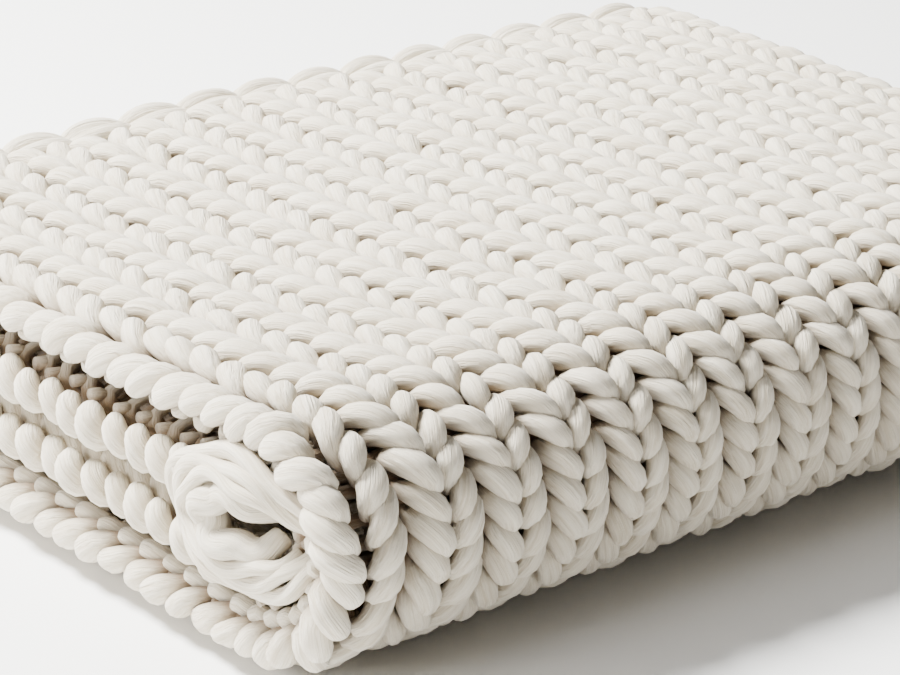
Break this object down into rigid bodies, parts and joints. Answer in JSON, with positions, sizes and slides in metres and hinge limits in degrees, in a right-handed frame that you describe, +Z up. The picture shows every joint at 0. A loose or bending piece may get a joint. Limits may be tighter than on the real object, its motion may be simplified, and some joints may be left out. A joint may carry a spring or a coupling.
{
  "type": "folded chunky knit throw",
  "caption": "Chunky hand-knit wool throw in plain stitch, folded twice into a stack of plies that opens at its front fold.",
  "frame": {"origin": "centre of the bottom of the folded throw's bounding box, on the surface it lies on", "axes": "+X along the front fold, from the open selvedges to the side fold; +Y from the front fold to the back edges; +Z up through the four plies"},
  "size_m": [0.5723, 0.412, 0.13],
  "materials": {
    "outer_wool": "soft unspun wool roving, matt",
    "inner_wool": "soft unspun wool roving, matt",
    "edge_wool": "soft unspun wool roving, matt"
  },
  "bodies": {
    "lower_half": {"bottom_ply": "outer_wool", "lower_inner_ply": "inner_wool", "lower_end_bend": "outer_wool", "cast_on_edge": "edge_wool", "outer_front_bend": "outer_wool", "inner_front_bend": "inner_wool", "corner_bend": "outer_wool"},
    "upper_half": {"top_ply": "outer_wool", "upper_inner_ply": "inner_wool", "upper_end_bend": "outer_wool", "bind_off_edge": "edge_wool"}
  },
  "joints": [
    {"name": "front_fold", "type": "hinge", "parent": "lower_half", "child": "upper_half", "pos_m": [0, -0.192, 0.065], "axis": [1, 0, 0], "range_deg": [0, 180], "deforming": ["outer_front_bend", "inner_front_bend", "corner_bend"]}
  ]
}
